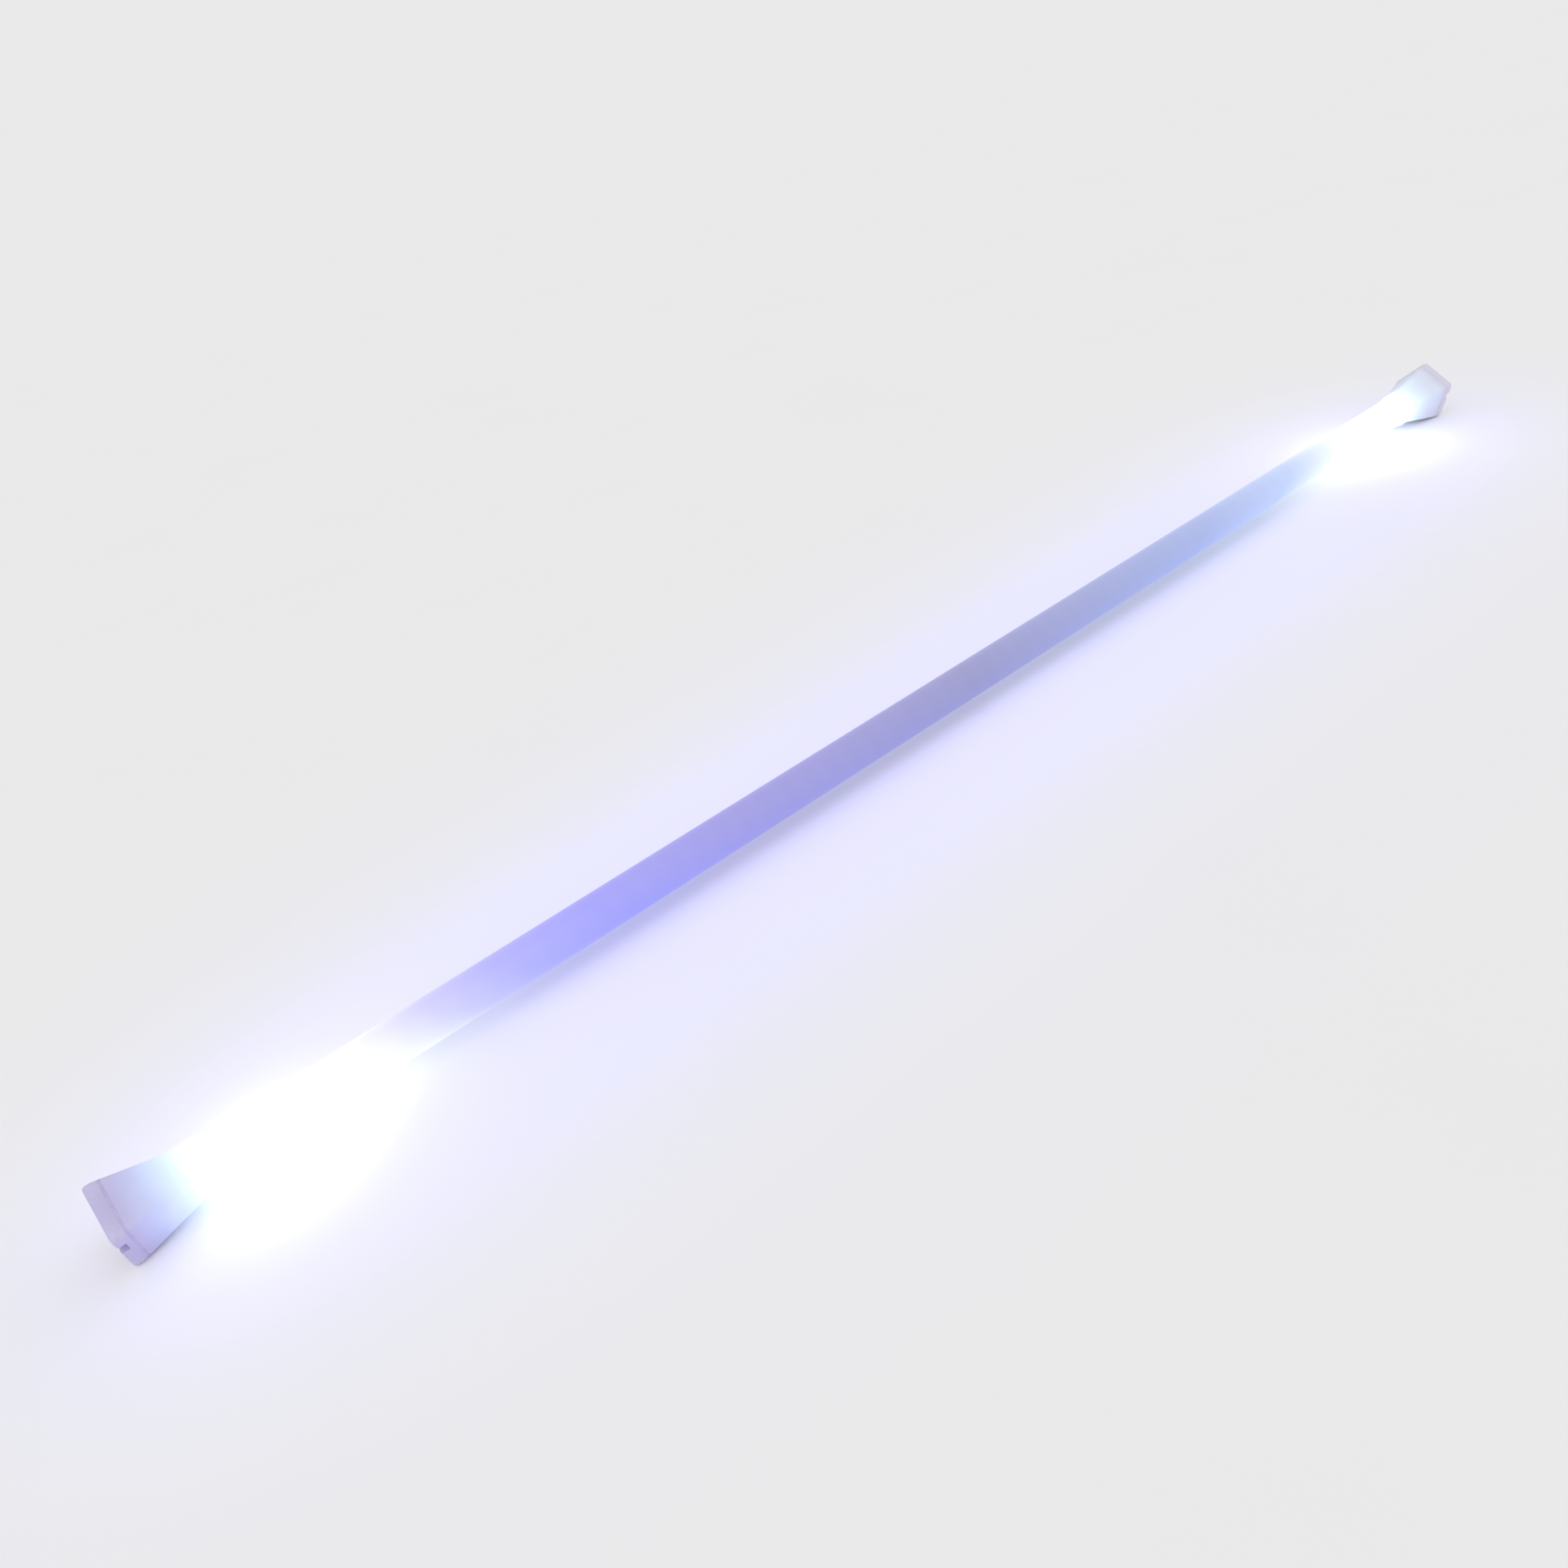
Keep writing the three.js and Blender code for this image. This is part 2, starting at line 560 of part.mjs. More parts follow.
add(lamp, 'diffuser_tube', diffuserTube(), 'diffuser');
add(lamp, 'led_rail', ledRail(), 'aluminium');
const board = ledBoard();
for (let i = 0; i < LED_BOARDS; i++) {
  add(lamp, `led_board_${i + 1}`, board, 'board', ((i + 0.5) / LED_BOARDS - 0.5) * RAIL_LENGTH);
}
const cell = batteryCell();
for (let i = 0; i < CELLS_PER_PACK; i++) {
  add(lamp, `battery_cell_near_${i + 1}`, cell, 'cellSleeve', -PACK_START + i * CELL_PITCH, 0, CELL_Z);
  add(lamp, `battery_cell_far_${i + 1}`, cell, 'cellSleeve', PACK_START - (i + 1) * CELL_PITCH, 0, CELL_Z);
}
const packEnd = PACK_START - CELLS_PER_PACK * CELL_PITCH;
for (const [name, x] of [
  ['near_outer', -PACK_START - GAP - PACK_PLATE_THICKNESS],
  ['near_inner', -packEnd],
  ['far_inner', packEnd - GAP - PACK_PLATE_THICKNESS],
  ['far_outer', PACK_START],
]) {
  add(lamp, `pack_plate_${name}`, packPlate(), 'blackPlastic', x);
}
add(lamp, 'driver_board', driverBoard(), 'greenBoard');
for (const [name, side, slot] of [['positive_lead', 1, 'redWire'], ['negative_lead', -1, 'blackWire']]) {
  const start = -LENGTH / 2 + BOARD_START + BOARD_THICKNESS + GAP;
  add(lamp, name, bar(LEAD_RADIUS, start, PACK_START, side * LEAD_PLACE.y, LEAD_PLACE.z, 8), slot);
}

const part = new THREE.Group();
part.add(lamp);
export default part;
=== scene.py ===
"""The looks of an LED light tube that lies lit on a pale floor.

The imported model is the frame. Smooth, finished pieces replace its faceted outer solids. What is inside the
diffuser, the seals, the bulkheads and the charging port keep their solids, with a better material. Shapes are
drawn in millimetres in an end's own frame: x is the depth from its end face, and +z is the side that the LEDs
face. END_PLACES places that frame, and LAMP does so for the diffuser, whose x is from its middle.
"""

import json
import math

import bmesh
import bpy
from mathutils import Matrix, Vector


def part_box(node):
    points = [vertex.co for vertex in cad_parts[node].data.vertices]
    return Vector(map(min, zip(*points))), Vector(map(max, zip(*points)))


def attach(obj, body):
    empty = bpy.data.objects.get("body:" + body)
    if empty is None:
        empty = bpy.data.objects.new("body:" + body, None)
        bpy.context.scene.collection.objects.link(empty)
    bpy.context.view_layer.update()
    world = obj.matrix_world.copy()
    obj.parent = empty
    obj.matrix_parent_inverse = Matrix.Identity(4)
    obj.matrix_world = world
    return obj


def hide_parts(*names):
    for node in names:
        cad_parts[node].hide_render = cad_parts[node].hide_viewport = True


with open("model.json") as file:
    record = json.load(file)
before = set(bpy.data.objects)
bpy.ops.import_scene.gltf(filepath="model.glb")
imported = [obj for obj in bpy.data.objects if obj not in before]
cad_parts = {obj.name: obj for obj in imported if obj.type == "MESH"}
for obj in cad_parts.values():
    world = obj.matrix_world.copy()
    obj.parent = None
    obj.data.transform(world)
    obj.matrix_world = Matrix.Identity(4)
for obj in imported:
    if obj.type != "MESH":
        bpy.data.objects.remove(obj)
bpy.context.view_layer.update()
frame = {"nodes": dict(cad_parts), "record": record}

# ---------- Sizes ----------

MM = 0.001
SIDES = 5
HALF_SECTOR = math.pi / SIDES                 # from a corner of a cap to the middle of the next flat
ROLL = 2 * HALF_SECTOR                        # turns the LEDs' side from straight up to -y and a little up
FLAT_RADIUS = 21.2
CORNER_FILLET = 4
LAND_END = 4.4                                # the flats run level this far, then close in
FLARE_SLOPE = 0.22
COLLAR_RADIUS = 14.5
SOCKET_RADIUS = 13.3
TUBE_WALL = 1.5
RECESS_DEPTH = 1.2
RECESS_RADIUS = 14.9
BOSS_RADIUS = 6
INSERT_RADIUS = 4.4
CLEARANCE = 0.3                               # between a hole and what sits in it
NOTCH_ANGLES = (114, 186)
NOTCH_FLOOR = 16.4
NOTCH_MOUTH = 2.9
NOTCH_ROOT = 2.6
SCREW_CIRCLE = 19.2
SCREW_HOLE_RADIUS = 1.7
SCREW_HOLE_DEPTH = 14.5
COUNTERBORE_RADIUS = 2.8
COUNTERBORE_DEPTH = 2.2
BUTTON_CIRCLE = 10.2
BUTTON_RADIUS = 2.9
BUTTON_ANGLES = {"power": 90, "brighter": 20, "dimmer": 160}
LIGHT_PIPE_CIRCLE = 10.4
LIGHT_PIPE_ANGLES = {"battery": 210, "signal": 330}
LIGHT_PIPE_HOLE = 1.4
PORT_Z = -10.4
PORT_HALF_WIDTH = 4.77
PORT_HALF_HEIGHT = 1.93
PORT_CORNER = 1.63
FLAP_HINGE_Z = -12.95
FLAP_HINGE_DEPTH = 0.52
LEDS = 64
CORNER_DEGREES = [90 + 360 * i / SIDES for i in range(SIDES)]
ENDS = ("near", "far")


def node_span(node):
    """Lowest and highest x of a CAD node, in millimetres."""
    low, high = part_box(node)
    return low.x / MM, high.x / MM


def node_centre(node):
    low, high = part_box(node)
    return (low + high) / 2


END_X = -node_span("end_cover_near")[0]
AXIS_Z = node_centre("diffuser_tube").z
COVER_DEPTH = node_span("end_cover_near")[1] + END_X
SHELL_START = node_span("cap_shell_near")[0] + END_X
CAP_LENGTH = node_span("cap_shell_near")[1] + END_X
TUBE_HALF = node_span("diffuser_tube")[1]
TUBE_RADIUS = (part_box("diffuser_tube")[1].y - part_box("diffuser_tube")[0].y) / 2 / MM

LAMP = Matrix.Translation((0, 0, AXIS_Z)) @ Matrix.Rotation(ROLL, 4, "X") @ Matrix.Scale(MM, 4)
END_PLACES = {
    "near": LAMP @ Matrix.Translation((-END_X, 0, 0)),
    "far": LAMP @ Matrix.Translation((END_X, 0, 0)) @ Matrix.Scale(-1, 4, (1, 0, 0)),
}
END_BODIES = {"near": "lamp", "far": "far_cap"}

# ---------- Materials ----------


class Shader:
    """A node material, built up from small steps that return sockets."""

    def __init__(self, name, **sockets):
        self.material = bpy.data.materials.new(name)
        self.material.use_nodes = True
        self.tree = self.material.node_tree
        self.surface = self.tree.nodes["Principled BSDF"]
        for socket, value in sockets.items():
            self.set(socket.replace("_", " "), value)

    def plug(self, target, value):
        if isinstance(value, bpy.types.NodeSocket):
            self.tree.links.new(value, target)
        elif target.type == "RGBA":
            target.default_value = (*value, 1)
        else:
            target.default_value = value

    def set(self, socket, value):
        self.plug(self.surface.inputs[socket], value)

    def node(self, kind, **inputs):
        """A node with its inputs given by name, or by number as _0, _1 where names repeat."""
        node = self.tree.nodes.new(kind)
        for name, value in inputs.items():
            socket = int(name[1:]) if name[0] == "_" else name.replace("_", " ")
            self.plug(node.inputs[socket], value)
        return node

    def position(self, scale=(1, 1, 1)):
        """The point on the object at rest, in metres, stretched by scale."""
        place = self.node("ShaderNodeTexCoord").outputs["Object"]
        return self.node("ShaderNodeMapping", Vector=place, Scale=scale).outputs[0]

    def axis(self, index):
        return self.node("ShaderNodeSeparateXYZ", _0=self.position()).outputs[index]

    def noise(self, scale, detail=3, stretch=(1, 1, 1), roughness=0.5):
        noise = self.node("ShaderNodeTexNoise", Vector=self.position(stretch), Scale=scale,
                          Detail=detail, Roughness=roughness)
        return noise.outputs["Fac"]

    def ramp(self, value, stops):
        """Colours or greys by value: stops are (value, colour), with values from 0 to 1."""
        ramp = self.node("ShaderNodeValToRGB", Fac=value)
        elements = ramp.color_ramp.elements
        while len(elements) < len(stops):
            elements.new(0.5)
        for element, (place, colour) in zip(elements, stops):
            element.position = place
            element.color = (*colour, 1) if isinstance(colour, tuple) else (colour, colour, colour, 1)
        return ramp.outputs[0]

    def math(self, operation, a, b=0.0):
        node = self.node("ShaderNodeMath", _0=a, _1=b)
        node.operation = operation
        return node.outputs[0]

    def spread(self, value, low, high, to_low=0.0, to_high=1.0):
        return self.node("ShaderNodeMapRange", Value=value, From_Min=low, From_Max=high,
                         To_Min=to_low, To_Max=to_high).outputs[0]

    def mix(self, factor, a, b, blend="MIX"):
        node = self.tree.nodes.new("ShaderNodeMix")
        node.data_type = "RGBA"
        node.blend_type = blend
        for index, value in zip((0, 6, 7), (factor, a, b)):
            self.plug(node.inputs[index], value)
        return node.outputs[2]

    def bump(self, height, distance):
        self.set("Normal", self.node("ShaderNodeBump", Height=height, Distance=distance).outputs[0])

    def grain(self, colour, roughness, scale, depth, amount=0.06):
        """Even moulded or coated stock: mottled by amount, with uneven gloss and a grain of this depth."""
        mottle = self.noise(scale / 12, 4)
        darker = tuple(c * (1 - amount) for c in colour)
        lighter = tuple(min(1, c * (1 + amount)) for c in colour)
        self.set("Base Color", self.ramp(mottle, [(0.3, darker), (0.7, lighter)]))
        gloss = self.noise(scale / 5, 5)
        self.set("Roughness", self.spread(gloss, 0.3, 0.7, roughness - 0.05, roughness + 0.07))
        self.bump(self.noise(scale, 2), depth)


def from_srgb(*values):
    """A colour as a display shows it, 0 to 255, turned into the linear one that a shader takes."""
    shown = [v / 255 for v in values]
    return tuple(v / 12.92 if v < 0.04045 else ((v + 0.055) / 1.055) ** 2.4 for v in shown)


WHITE = (1.0, 1.0, 1.0)
BLACK = (0.0, 0.0, 0.0)
LAVENDER = from_srgb(194, 187, 226)
PERIWINKLE = from_srgb(198, 198, 240)
PALE_LAVENDER = from_srgb(216, 212, 228)
PALE_ICE = from_srgb(220, 228, 246)
ICE_BLUE = from_srgb(212, 228, 253)
MIST_BLUE = from_srgb(199, 212, 249)
SKY_BLUE = from_srgb(190, 208, 254)
EDGE_WEAR = from_srgb(222, 218, 236)
WEAR_START, WEAR_END = 21.5, 25.2             # the corners are rubbed pale between these radii
# Bluer towards the collar: painted light of the tube's glow showing through the plastic.
NEAR_CAP = (LAVENDER, PERIWINKLE, MIST_BLUE, SKY_BLUE)    # from the rim to the collar
# The far end's paler copies of these colours are painted light: that end is drawn as if more brightly lit.
FAR_CAP_LIT_COPY = (PALE_LAVENDER, PALE_ICE, PALE_ICE, ICE_BLUE)
CAP_STOPS = (0.0, 0.15, 0.45, 0.6)            # where those colours are, from 0 to 1 over the shell
GLOW_REACH = 2.4                              # a higher power keeps a cap's glow nearer its collar

# Colour of the lit diffuser by place along it, in metres from the middle.
GLOW = [
    (-0.60, WHITE),
    (-0.47, WHITE),
    (-0.44, from_srgb(236, 236, 253)),
    (-0.40, from_srgb(203, 200, 253)),
    (-0.36, from_srgb(178, 176, 251)),
    (-0.30, from_srgb(165, 162, 247)),
    (-0.20, from_srgb(162, 157, 226)),
    (0.00, from_srgb(158, 157, 206)),
    (0.25, from_srgb(170, 182, 228)),
    (0.36, from_srgb(194, 209, 248)),
    (0.42, from_srgb(230, 237, 254)),
    (0.48, WHITE),
    (0.60, WHITE),
]
# How brightly the diffuser shines in that colour, by place. Its two end zones light the floor.
GLOW_STRENGTH = [(-0.60, 3.2), (-0.52, 3.2), (-0.48, 1.4), (-0.45, 1.0), (-0.40, 0.87), (-0.33, 0.8),
                 (0.0, 0.75), (0.36, 0.8), (0.42, 0.95), (0.475, 1.4), (0.51, 3.2), (0.60, 3.2)]
MOST_GLOW = max(strength for place, strength in GLOW_STRENGTH)
# Places along the lamp are multiplied by these, so that the stops slant: further out on top of the tube. The
# white end glow so reaches further in along the underside, which is a painted highlight.
SLANT_OVER, SLANT_UNDER = 0.945, 1.055
LED_RIPPLE = 0.007                            # how much the light swells over each LED


def along(shader, stops, highlight_slant, top=1.0):
    """A ramp by place along the lamp, for stops in metres from its middle, with its greys divided by top."""
    half = END_X * MM
    place = shader.spread(shader.math("MULTIPLY", shader.axis(0), highlight_slant), -half, half)
    scaled = [((x + half) / (2 * half), c if isinstance(c, tuple) else c / top) for x, c in stops]
    return shader.ramp(place, scaled)


def diffuser_material():
    """Frosted, extruded polycarbonate, lit from inside by LEDs on the side that faces -y and a little up."""
    led_pitch = 2 * node_span("led_board_4")[1] * MM / LEDS
    shader = Shader("frosted_diffuser", IOR=1.58, Specular_IOR_Level=0.35, Coat_Weight=0.05)
    radius = TUBE_RADIUS * MM
    height = shader.spread(shader.axis(2), AXIS_Z - radius, AXIS_Z + radius)
    # Painted highlight: by this slant the white end glow reaches further in along the tube's underside.
    highlight_slant = shader.spread(height, 0, 1, SLANT_UNDER, SLANT_OVER)
    # Painted sheen and shade: the glow's colour is lightest on top and darker and bluer underneath, as the
    # studio's light falls.
    painted_sheen_and_shade = shader.ramp(height, [(0.0, (0.82, 0.88, 0.98)), (0.6, (0.93, 0.97, 1.0)), (1.0, WHITE)])
    glow = shader.mix(1.0, along(shader, GLOW, highlight_slant), painted_sheen_and_shade, "MULTIPLY")
    ripple = shader.math("SINE", shader.math("MULTIPLY", shader.axis(0), 2 * math.pi / led_pitch))
    strength = shader.math("MULTIPLY", along(shader, GLOW_STRENGTH, highlight_slant, MOST_GLOW), MOST_GLOW)
    uneven = shader.math("MULTIPLY", strength, shader.spread(ripple, -1, 1, 1 - LED_RIPPLE, 1 + LED_RIPPLE))
    shader.set("Base Color", shader.mix(0.75, glow, BLACK))
    shader.set("Emission Color", glow)
    shader.set("Emission Strength", uneven)
    draw_lines = shader.noise(900, 3, (0.01, 1, 1))
    shader.set("Roughness", shader.spread(draw_lines, 0.3, 0.7, 0.38, 0.5))
    shader.bump(shader.math("ADD", draw_lines, shader.noise(5000, 2)), 0.00002)
    return shader.material


def cap_material(name, colours, lit):
    """Pale plastic that lets more and more of the tube's light through towards the collar, up to lit."""
    shader = Shader(name, IOR=1.46, Specular_IOR_Level=0.4)
    depth = shader.math("SUBTRACT", END_X * MM, shader.math("ABSOLUTE", shader.axis(0)))
    reach = shader.spread(depth, COVER_DEPTH * MM, CAP_LENGTH * MM)
    stain = tuple(c * 0.88 for c in colours[0])
    stained = shader.spread(shader.noise(70, 5), 0.35, 0.7, 0, 0.25)
    body = shader.mix(stained, shader.ramp(reach, list(zip(CAP_STOPS, colours))), stain)
    height = shader.math("SUBTRACT", shader.axis(2), AXIS_Z)
    radius = shader.math("SQRT", shader.math("ADD", shader.math("POWER", shader.axis(1), 2.0),
                                             shader.math("POWER", height, 2.0)))
    rubbed = shader.math("MULTIPLY", shader.spread(radius, WEAR_START * MM, WEAR_END * MM, 0, 0.4),
                         shader.spread(shader.noise(420, 6, roughness=0.7), 0.35, 0.7))
    shader.set("Base Color", shader.mix(rubbed, body, EDGE_WEAR))
    shader.set("Emission Color", ICE_BLUE)
    shader.set("Emission Strength", shader.math("MULTIPLY", shader.math("POWER", reach, GLOW_REACH), lit))
    shader.set("Roughness", shader.spread(shader.noise(260, 5), 0.3, 0.7, 0.5, 0.64))
    shader.bump(shader.noise(2600, 2), 0.00004)
    return shader.material


def plastic(name, colour, roughness):
    """Plain moulded plastic with a fine grain."""
    shader = Shader(name)
    shader.grain(colour, roughness, scale=3000, depth=0.00002)
    return shader.material


def rubber(name, colour, roughness, **sockets):
    """Rubber, with a coarser grain and more varied in colour than plastic."""
    shader = Shader(name, **sockets)
    shader.grain(colour, roughness, scale=1800, depth=0.00004, amount=0.1)
    return shader.material


def metal(name, colour, roughness, stretch=(1, 1, 1)):
    """Metal with the fine lines of its last cut or draw."""
    shader = Shader(name, Metallic=1.0)
    lines = shader.noise(2400, 3, stretch)
    shader.set("Base Color", shader.ramp(lines, [(0.25, tuple(c * 0.86 for c in colour)), (0.75, colour)]))
    shader.set("Roughness", shader.spread(lines, 0.3, 0.7, roughness - 0.06, roughness + 0.08))
    shader.bump(lines, 0.00001)
    return shader.material


def wrapped_cell(name):
    """A battery cell's glossy shrink sleeve, creased along the cell."""
    shader = Shader(name, Coat_Weight=0.5, Coat_Roughness=0.15)
    creases = shader.noise(120, 4, (0.2, 1, 1))
    # Painted shade and sheen: darker blue in the creases' hollows, paler on their ridges.
    shaded_and_lit_blues = [(0.3, from_srgb(70, 90, 160)), (0.7, from_srgb(96, 118, 186))]
    shader.set("Base Color", shader.ramp(creases, shaded_and_lit_blues))
    shader.set("Roughness", shader.spread(creases, 0.3, 0.7, 0.22, 0.4))
    shader.bump(creases, 0.00008)
    return shader.material


def circuit_board(name, mask, copper):
    """Solder mask over tracks, which show as slightly raised and paler lines."""
    shader = Shader(name, Coat_Weight=0.3, Coat_Roughness=0.2)
    tracks = shader.node("ShaderNodeTexBrick", Vector=shader.position((90, 140, 140)), Scale=8.0,
                         Mortar_Size=0.03, Color1=mask, Color2=mask, Mortar=copper)
    blotch = shader.noise(500, 3)
    hidden = shader.spread(blotch, 0.3, 0.8, 0, 0.25)
    shader.set("Base Color", shader.mix(hidden, tracks.outputs["Color"], mask))
    shader.set("Roughness", shader.spread(blotch, 0.3, 0.7, 0.3, 0.42))
    shader.bump(tracks.outputs["Fac"], 0.00003)
    return shader.material


def clear_plastic(name):
    shader = Shader(name, IOR=1.49, Transmission_Weight=0.7)
    shader.grain(from_srgb(226, 234, 255), 0.12, scale=1500, depth=0.00001)
    return shader.material


MATERIALS = {
    "diffuser": diffuser_material(),
    "cap_shell": cap_material("cap_plastic", NEAR_CAP, lit=1.5),
    "end_cover": cap_material("cap_end_plastic", NEAR_CAP, lit=0.0),
    # The far end's paler cap materials are painted light, copies of the near end's.
    "cap_shell_far": cap_material("far_cap_plastic_painted_lit", FAR_CAP_LIT_COPY, lit=0.8),
    "end_cover_far": cap_material("far_cap_end_plastic_painted_lit", FAR_CAP_LIT_COPY, lit=0.0),
    "dark_rubber": rubber("seal_rubber", from_srgb(186, 180, 220), 0.75),
    # Paler copy of the seal rubber: painted light on the far end.
    "dark_rubber_far": rubber("far_seal_rubber_painted_lit", from_srgb(206, 203, 222), 0.75),
    "flap_rubber": rubber("flap_rubber", from_srgb(166, 160, 196), 0.7, Sheen_Weight=0.1),
    "button_plastic": plastic("button_plastic", from_srgb(214, 211, 232), 0.45),
    "clear_plastic": clear_plastic("light_pipe_plastic"),
    "brass": metal("turned_brass", from_srgb(214, 182, 112), 0.3),
    "screw_steel": metal("screw_steel", from_srgb(196, 196, 204), 0.32),
    "port_steel": metal("port_steel", from_srgb(200, 200, 208), 0.28, (0.05, 1, 1)),
    "rail_aluminium": metal("rail_aluminium", from_srgb(214, 216, 222), 0.38, (0.01, 1, 1)),
    "led_board": circuit_board("led_board_mask", from_srgb(236, 238, 242), from_srgb(214, 218, 224)),
    "green_board": circuit_board("green_board_mask", from_srgb(36, 104, 66), from_srgb(96, 152, 96)),
    "cell_sleeve": wrapped_cell("cell_sleeve"),
    "black_plastic": plastic("black_plastic", from_srgb(38, 38, 44), 0.5),
    "red_wire": plastic("red_silicone", from_srgb(176, 42, 48), 0.5),
    "black_wire": plastic("black_silicone", from_srgb(34, 34, 38), 0.5),
}

for subpart in frame["record"]["subparts"]:
    node = frame["nodes"][subpart["node"]]
    node.data.materials.clear()
    node.data.materials.append(MATERIALS[subpart["material_slot"]])

# ---------- Shapes, in millimetres ----------

SAME_POINT = 1e-5                             # points nearer than this are merged as a shape is made,
SHORTEST_CUT_EDGE = 0.02                      # than this after it is cut,
SHORTEST_ROUNDED_EDGE = 0.2 * SHORTEST_CUT_EDGE           # and than this once its edges are rounded
SHARP_CUT = math.radians(38)                  # an edge that a cut leaves is rounded from here up
SHARP_EDGE = math.radians(32)                 # an edge looks sharp from here up
FILLET_SPAN = HALF_SECTOR - math.atan((1 - CORNER_FILLET / FLAT_RADIUS) * math.tan(HALF_SECTOR))


def arc(centre, radius, start, end, steps):
    """Points on an arc in a plane, with angles in degrees."""
    angles = [math.radians(start + (end - start) * i / steps) for i in range(steps + 1)]
    return [(centre[0] + radius * math.cos(a), centre[1] + radius * math.sin(a)) for a in angles]


def filleted(points, steps=4):
    """A closed outline of (x, y, fillet radius) points, with an arc in place of each corner."""
    outline = []
    for i, (x, y, radius) in enumerate(points):
        corner = Vector((x, y))
        before = (Vector(points[i - 1][:2]) - corner).normalized()
        after = (Vector(points[(i + 1) % len(points)][:2]) - corner).normalized()
        half_angle = before.angle(after) / 2
        centre = corner + (before + after).normalized() * radius / math.sin(half_angle)
        start = corner + before * radius / math.tan(half_angle) - centre
        end = corner + after * radius / math.tan(half_angle) - centre
        turn = start.angle_signed(end)
        for step in range(steps + 1):
            spoke = start.copy()
            spoke.rotate(Matrix.Rotation(-turn * step / steps, 2))
            outline.append(tuple(centre + spoke))
    return outline


def rounded_box(half_width, low, high, radius, steps=4):
    """A box's outline in (y, z), from low to high, with rounded corners."""
    corners = [(-half_width, low), (half_width, low), (half_width, high), (-half_width, high)]
    return filleted([(y, z, radius) for y, z in corners], steps)


def rounded_rim(depth, radius, edge, steps=4):
    """The rounded edge between a flat top at this depth and a side at this radius."""
    return arc((depth + edge, radius - edge), edge, 180, 90, steps)


def outline_radius(angle):
    """Radius of the five-sided outline with filleted corners, at an angle from a corner."""
    from_corner = abs(angle - 2 * HALF_SECTOR * round(angle / (2 * HALF_SECTOR)))
    if from_corner > FILLET_SPAN:
        return FLAT_RADIUS / math.cos(HALF_SECTOR - from_corner)
    centre = (FLAT_RADIUS - CORNER_FILLET) / math.cos(HALF_SECTOR)
    aside = centre * math.sin(from_corner)
    return centre * math.cos(from_corner) + math.sqrt(CORNER_FILLET ** 2 - aside ** 2)


def without_slivers(bm, shortest):
    """The same shape, with points nearer than this merged and what then has no area left out."""
    bmesh.ops.remove_doubles(bm, verts=bm.verts, dist=shortest)
    bmesh.ops.dissolve_degenerate(bm, dist=shortest, edges=bm.edges)
    bmesh.ops.delete(bm, geom=[edge for edge in bm.edges if not edge.link_faces], context="EDGES")
    bmesh.ops.delete(bm, geom=[vert for vert in bm.verts if not vert.link_faces], context="VERTS")
    return bm


def skin(rings, ends_joined=True):
    """A bmesh through rings of points. The last ring joins the first, or else each end ring gets a face."""
    bm = bmesh.new()
    made = [[bm.verts.new(point) for point in ring] for ring in rings]
    pairs = list(zip(made, made[1:])) + ([(made[-1], made[0])] if ends_joined else [])
    for ring, following in pairs:
        for i in range(len(ring)):
            j = (i + 1) % len(ring)
            bm.faces.new((ring[i], ring[j], following[j], following[i]))
    if not ends_joined:
        bm.faces.new(reversed(made[0]))
        bm.faces.new(made[-1])
    without_slivers(bm, SAME_POINT)
    bmesh.ops.recalc_face_normals(bm, faces=bm.faces)
    return bm


def column_angles(in_half_fillet=8, in_half_flat=12):
    """Angles from the first corner of a five-sided piece's columns, crowded over each corner's fillet."""
    half_flat = HALF_SECTOR - FILLET_SPAN
    over_fillet = [FILLET_SPAN * (i / in_half_fillet - 1) for i in range(2 * in_half_fillet + 1)]
    over_flat = [FILLET_SPAN + half_flat * i / in_half_flat for i in range(1, 2 * in_half_flat)]
    return [2 * HALF_SECTOR * corner + angle for corner in range(SIDES) for angle in over_fillet + over_flat]


def five_sided_ring(profile_at):
    """A ring round x whose profile of (depth, radius) depends on the outline at each angle."""
    rings = []
    for angle in column_angles():
        profile = profile_at(outline_radius(angle) / FLAT_RADIUS)
        rings.append([(d, r * math.sin(angle), r * math.cos(angle)) for d, r in profile])
    return skin(rings)


def turned(profile, segments=64):
    """A closed profile of (depth, radius) turned round x. It may start and end on the axis."""
    rings = []
    for i in range(segments):
        angle = 2 * math.pi * i / segments
        rings.append([(d, r * math.sin(angle), r * math.cos(angle)) for d, r in profile])
    return skin(rings)


def pushed(outline, start, end):
    """An outline in (y, z) pushed from one depth to another."""
    return skin([[(x, y, z) for y, z in outline] for x in (start, end)], ends_joined=False)


def moved(bm, y=0.0, z=0.0, turn=0.0):
    """A shape turned about the axis, then moved across it."""
    matrix = Matrix.Translation((0, y, z)) @ Matrix.Rotation(turn, 4, "X")
    bmesh.ops.transform(bm, matrix=matrix, verts=bm.verts)
    return bm


def bar(radius, start, end, y=0.0, z=0.0, segments=48):
    return moved(pushed(arc((0, 0), radius, 0, 360 - 360 / segments, segments - 1), start, end), y, z)


def on_circle(radius, degrees):
    return radius * math.cos(math.radians(degrees)), radius * math.sin(math.radians(degrees))


def mesh_object(bm, name="scratch"):
    mesh = bpy.data.meshes.new(name)
    bm.to_mesh(mesh)
    bm.free()
    obj = bpy.data.objects.new(name, mesh)
    bpy.context.scene.collection.objects.link(obj)
    return obj


def apply_modifiers(obj):
    evaluated = obj.evaluated_get(bpy.context.evaluated_depsgraph_get())
    mesh = bpy.data.meshes.new_from_object(evaluated)
    obj.modifiers.clear()
    obj.data = mesh


